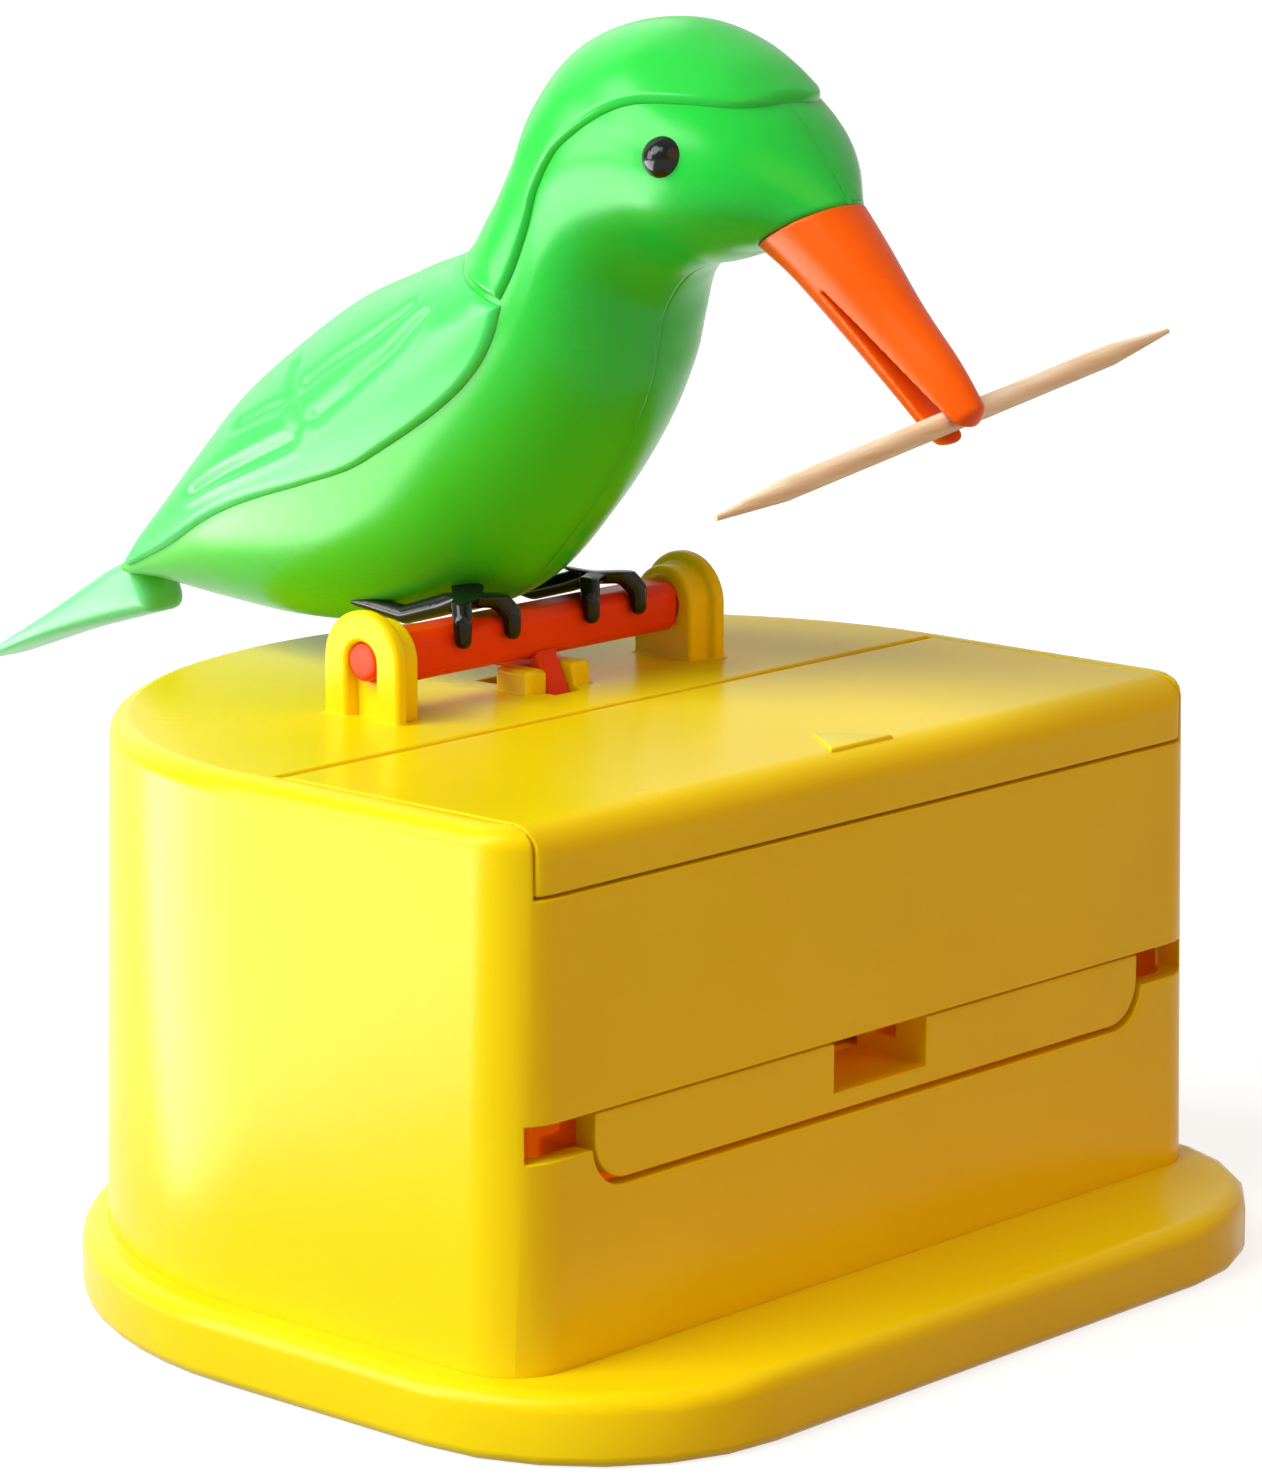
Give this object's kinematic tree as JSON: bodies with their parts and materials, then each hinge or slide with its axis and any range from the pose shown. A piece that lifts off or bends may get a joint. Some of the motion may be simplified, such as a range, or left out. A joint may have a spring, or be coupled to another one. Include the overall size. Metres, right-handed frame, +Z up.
{
  "type": "toothpick dispenser",
  "caption": "Tabletop toothpick dispenser: a hollow moulded bird on a perch bar tips forward over a D-shaped hopper box and picks a toothpick from its sliding tray.",
  "frame": {"origin": "on the flat underside of the base, on the plane of symmetry, 31.2 mm behind the housing's front wall at its top edge", "axes": "+Z up; the tray opens towards -Y and the bird faces -Y; X runs along the toothpicks and the hinge axes"},
  "size_m": [0.104, 0.1313, 0.1176],
  "materials": {
    "yellow": "glossy, moulded",
    "yellow_inner": "satin, moulded",
    "steel": "bright zinc plate",
    "orange_inner": "satin, moulded",
    "red_orange": "glossy, slightly translucent",
    "green_body": "satin, slightly translucent",
    "green_plates": "satin, slightly translucent",
    "orange_beak": "satin, slightly translucent",
    "black": "glossy",
    "wood": "bare pale birch"
  },
  "bodies": {
    "case": {"base_plate": "yellow", "base_screw_1": "steel", "base_screw_2": "steel", "base_screw_3": "steel", "base_screw_4": "steel", "housing": "yellow", "hopper": "yellow_inner", "chassis": "yellow_inner", "rocker_pin": "steel", "return_spring": "steel"},
    "bird": {"perch_bar": "red_orange", "drive_finger": "red_orange", "bird_left": "green_body", "bird_right": "green_body", "crest": "green_plates", "wing_back": "green_plates", "tail": "green_plates", "beak": "orange_beak", "eye_left": "black", "eye_right": "black", "foot_left": "black", "foot_right": "black", "toothpick": "wood"},
    "rocker": {"rocker": "orange_inner"},
    "tray": {"tray": "yellow"},
    "lid": {"lid": "yellow"}
  },
  "joints": [
    {"name": "bird_tilt", "type": "hinge", "parent": "case", "child": "bird", "pos_m": [0, 0.0118, 0.0593], "axis": [1, 0, 0], "range_deg": [0, 52], "stiffness_Nm_per_rad": 0.012, "springref_deg": -34.38},
    {"name": "rocker_swing", "type": "hinge", "parent": "case", "child": "rocker", "pos_m": [0, 0.0118, 0.03413], "axis": [1, 0, 0], "range_deg": [-52.5, 0], "deforming": ["return_spring"]},
    {"name": "tray_slide", "type": "slide", "parent": "case", "child": "tray", "axis": [0, -1, 0], "range_m": [0, 0.008]},
    {"name": "lid_hinge", "type": "hinge", "parent": "case", "child": "lid", "pos_m": [0, -0.00115, 0.0529], "axis": [-1, 0, 0], "range_deg": [0, 18]}
  ],
  "couplings": [
    {"joint": "rocker_swing", "follows": "bird_tilt", "ratio": -1},
    {"joint": "tray_slide", "follows": "bird_tilt", "m_per_rad": 0.0088}
  ]
}
